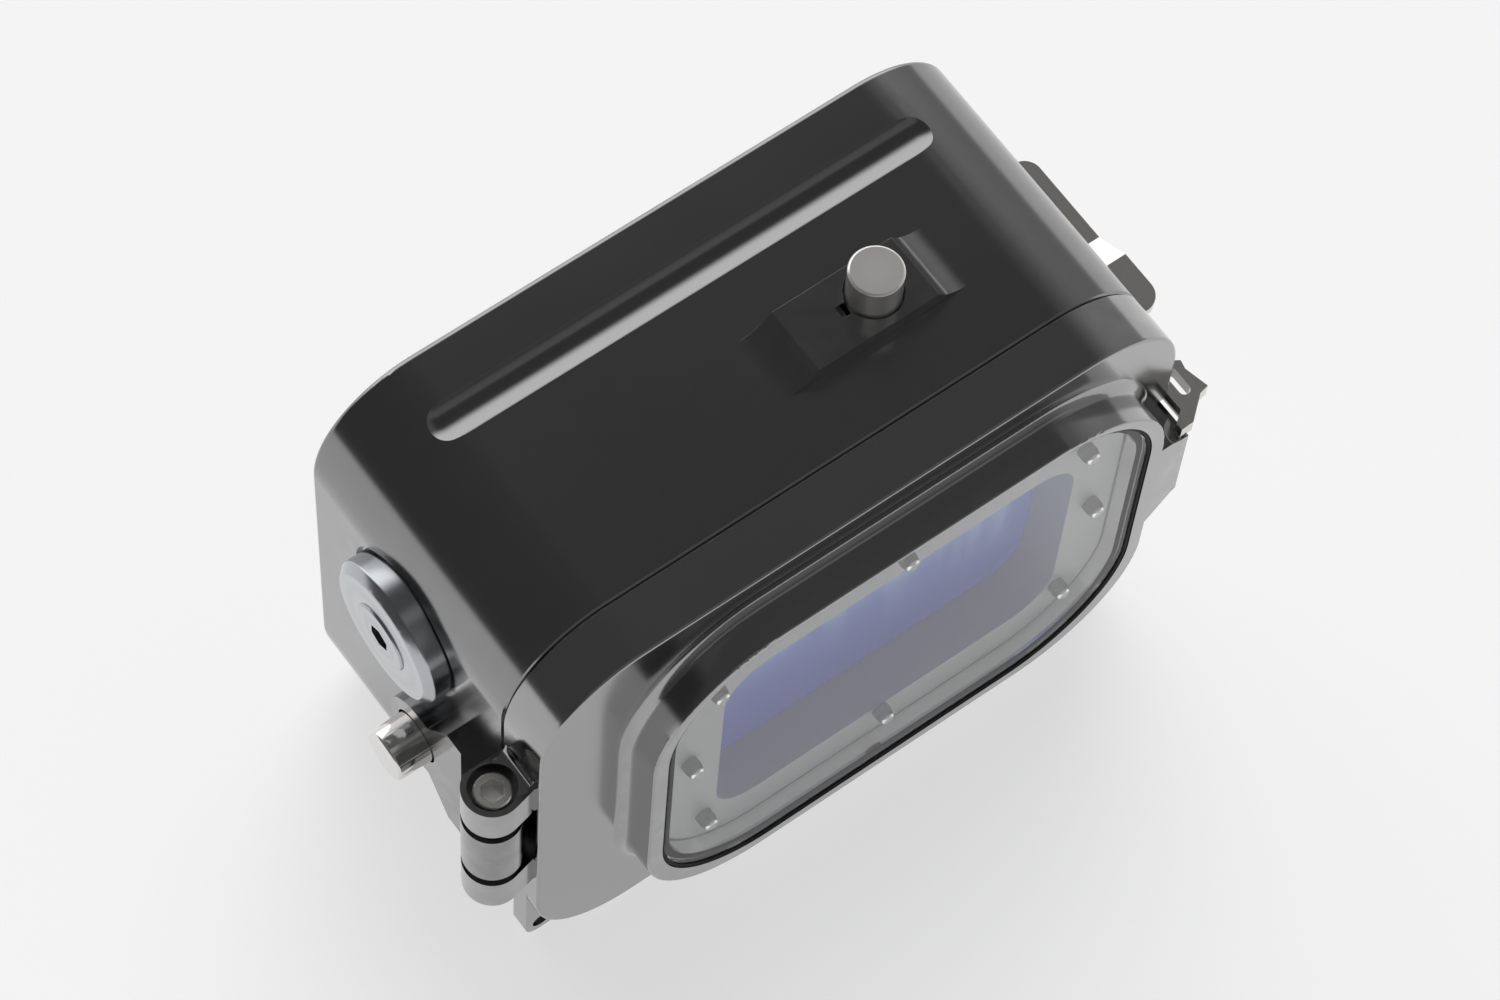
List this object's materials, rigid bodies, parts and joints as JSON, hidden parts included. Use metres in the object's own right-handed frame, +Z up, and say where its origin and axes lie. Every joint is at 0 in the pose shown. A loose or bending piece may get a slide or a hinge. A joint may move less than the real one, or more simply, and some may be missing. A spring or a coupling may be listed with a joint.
{
  "type": "underwater camera housing",
  "caption": "Underwater camera housing with a hinged windowed rear door, over-centre side latch, sealed push buttons and a side bulkhead plug.",
  "frame": {"origin": "mouth of the tripod thread in the middle of the bottom face", "axes": "+X to the right seen from the rear door, +Y towards the lens port, +Z up"},
  "size_m": [0.1573, 0.0827, 0.113],
  "materials": {
    "body_metal": "satin",
    "door_metal": "satin",
    "plug_metal": "turned",
    "button_metal": "polished",
    "latch_metal": "polished",
    "screw_metal": "polished",
    "bush_metal": "turned",
    "washer_plastic": "matte",
    "seal_rubber": "matte",
    "clear_window": "clear",
    "port_glass": "clear",
    "frame_plastic": "satin",
    "screen": "glossy",
    "inner_plastic": "matte"
  },
  "bodies": {
    "housing": {"housing_body": "body_metal", "main_seal": "seal_rubber", "front_port_ring": "body_metal", "front_port_glass": "port_glass", "front_port_seal": "seal_rubber", "front_port_screws": "screw_metal", "bulkhead_plug": "plug_metal", "plug_screw": "plug_metal", "plug_seal": "seal_rubber", "plug_nut": "plug_metal", "camera_tray": "inner_plastic", "tray_screws": "screw_metal", "camera_screw": "screw_metal", "tripod_insert": "screw_metal", "hinge_bush": "bush_metal", "top_button_spring": "screw_metal", "side_button_spring": "screw_metal", "latch_base": "latch_metal", "latch_base_screws": "screw_metal", "latch_pivot": "screw_metal"},
    "door": {"rear_door": "door_metal", "window": "clear_window", "window_seal": "seal_rubber", "screen_frame": "frame_plastic", "screen_frame_screws": "screw_metal", "screen_box": "frame_plastic", "screen_box_screws": "screw_metal", "screen_panel": "screen", "screen_cover": "inner_plastic", "screen_cover_screws": "screw_metal", "hinge_screw": "screw_metal", "hinge_washers": "washer_plastic"},
    "lever": {"latch_lever": "latch_metal", "latch_hook_pin": "screw_metal"},
    "hook": {"latch_hook": "latch_metal"},
    "upper_button": {"top_button": "button_metal", "top_button_seal": "seal_rubber", "top_button_clip": "screw_metal"},
    "left_button": {"side_button": "button_metal", "side_button_seal": "seal_rubber", "side_button_clip": "screw_metal"}
  },
  "joints": [
    {"name": "door_hinge", "type": "hinge", "parent": "housing", "child": "door", "pos_m": [-0.0733, -0.0336, 0.051], "axis": [0, 0, -1], "range_deg": [0, 110]},
    {"name": "latch_lever_pivot", "type": "hinge", "parent": "housing", "child": "lever", "pos_m": [0.0753, -0.0205, 0.059], "axis": [0, 0, -1], "range_deg": [0, 100]},
    {"name": "latch_hook_pivot", "type": "hinge", "parent": "lever", "child": "hook", "pos_m": [0.0708, -0.0115, 0.062], "axis": [0, 0, 1], "range_deg": [0, 116]},
    {"name": "top_button_press", "type": "slide", "parent": "housing", "child": "upper_button", "axis": [0, 0, -1], "range_m": [0, 0.0016], "stiffness_N_per_m": 1000, "springref_m": -0.001, "deforming": ["top_button_spring"]},
    {"name": "side_button_press", "type": "slide", "parent": "housing", "child": "left_button", "axis": [1, 0, 0], "range_m": [0, 0.002], "stiffness_N_per_m": 1000, "springref_m": -0.001, "deforming": ["side_button_spring"]}
  ],
  "couplings": [
    {"joint": "latch_hook_pivot", "follows": "latch_lever_pivot", "ratio": 1.155}
  ]
}
